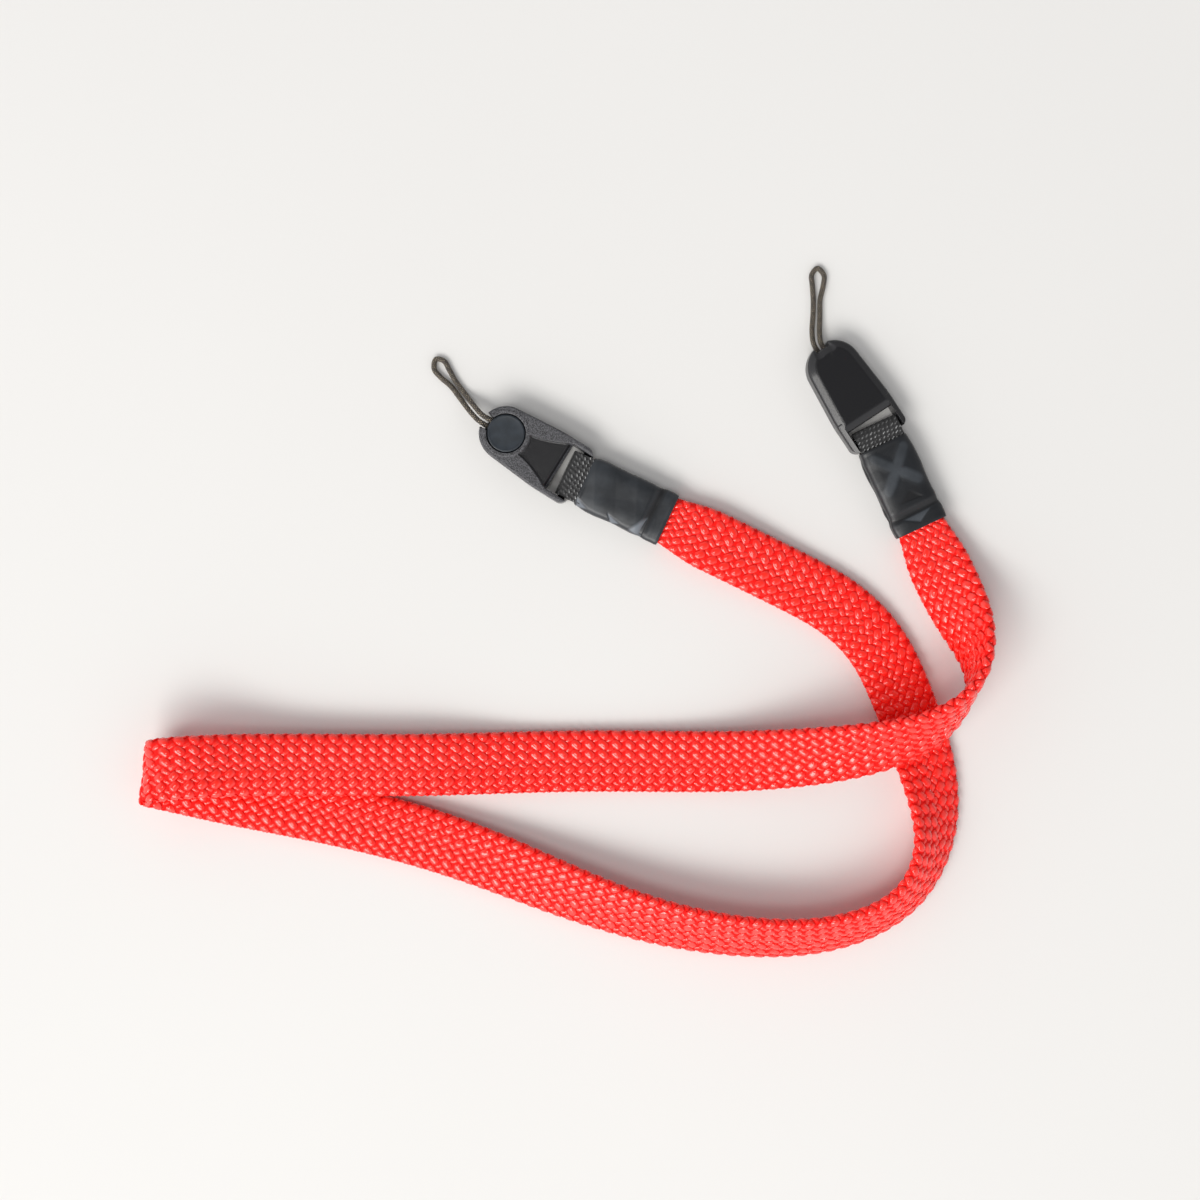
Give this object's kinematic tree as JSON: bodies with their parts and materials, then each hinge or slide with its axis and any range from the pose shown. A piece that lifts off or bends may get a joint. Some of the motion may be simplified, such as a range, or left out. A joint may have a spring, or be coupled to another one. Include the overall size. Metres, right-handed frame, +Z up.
{
  "type": "camera neck strap",
  "caption": "Wide flat braided neck strap with a shrunk sleeve, webbing loop, quick-release housing and round anchor with a cord loop at each end, lying in a loop.",
  "frame": {"origin": "on the surface that the strap lies on, under the middle of its box without the two thin cord loops", "axes": "+X along the long upper stretch of the braid, from its fold to the crossing; +Y in the plane, towards the two fittings; +Z up from the surface"},
  "size_m": [0.3222, 0.2652, 0.0289],
  "materials": {
    "braid": "soft sheen",
    "sleeve": "satin",
    "webbing": "ribbed weave",
    "housing": "fine grain",
    "disc": "satin",
    "cord": "plaited"
  },
  "bodies": {
    "root": {"braid_band": "braid", "sleeve_a": "sleeve", "sleeve_b": "sleeve", "webbing_loop_a": "webbing", "webbing_loop_b": "webbing", "housing_a": "housing", "housing_b": "housing", "anchor_disc_a": "disc", "anchor_disc_b": "disc", "anchor_cord_a": "cord", "anchor_cord_b": "cord"}
  },
  "joints": []
}
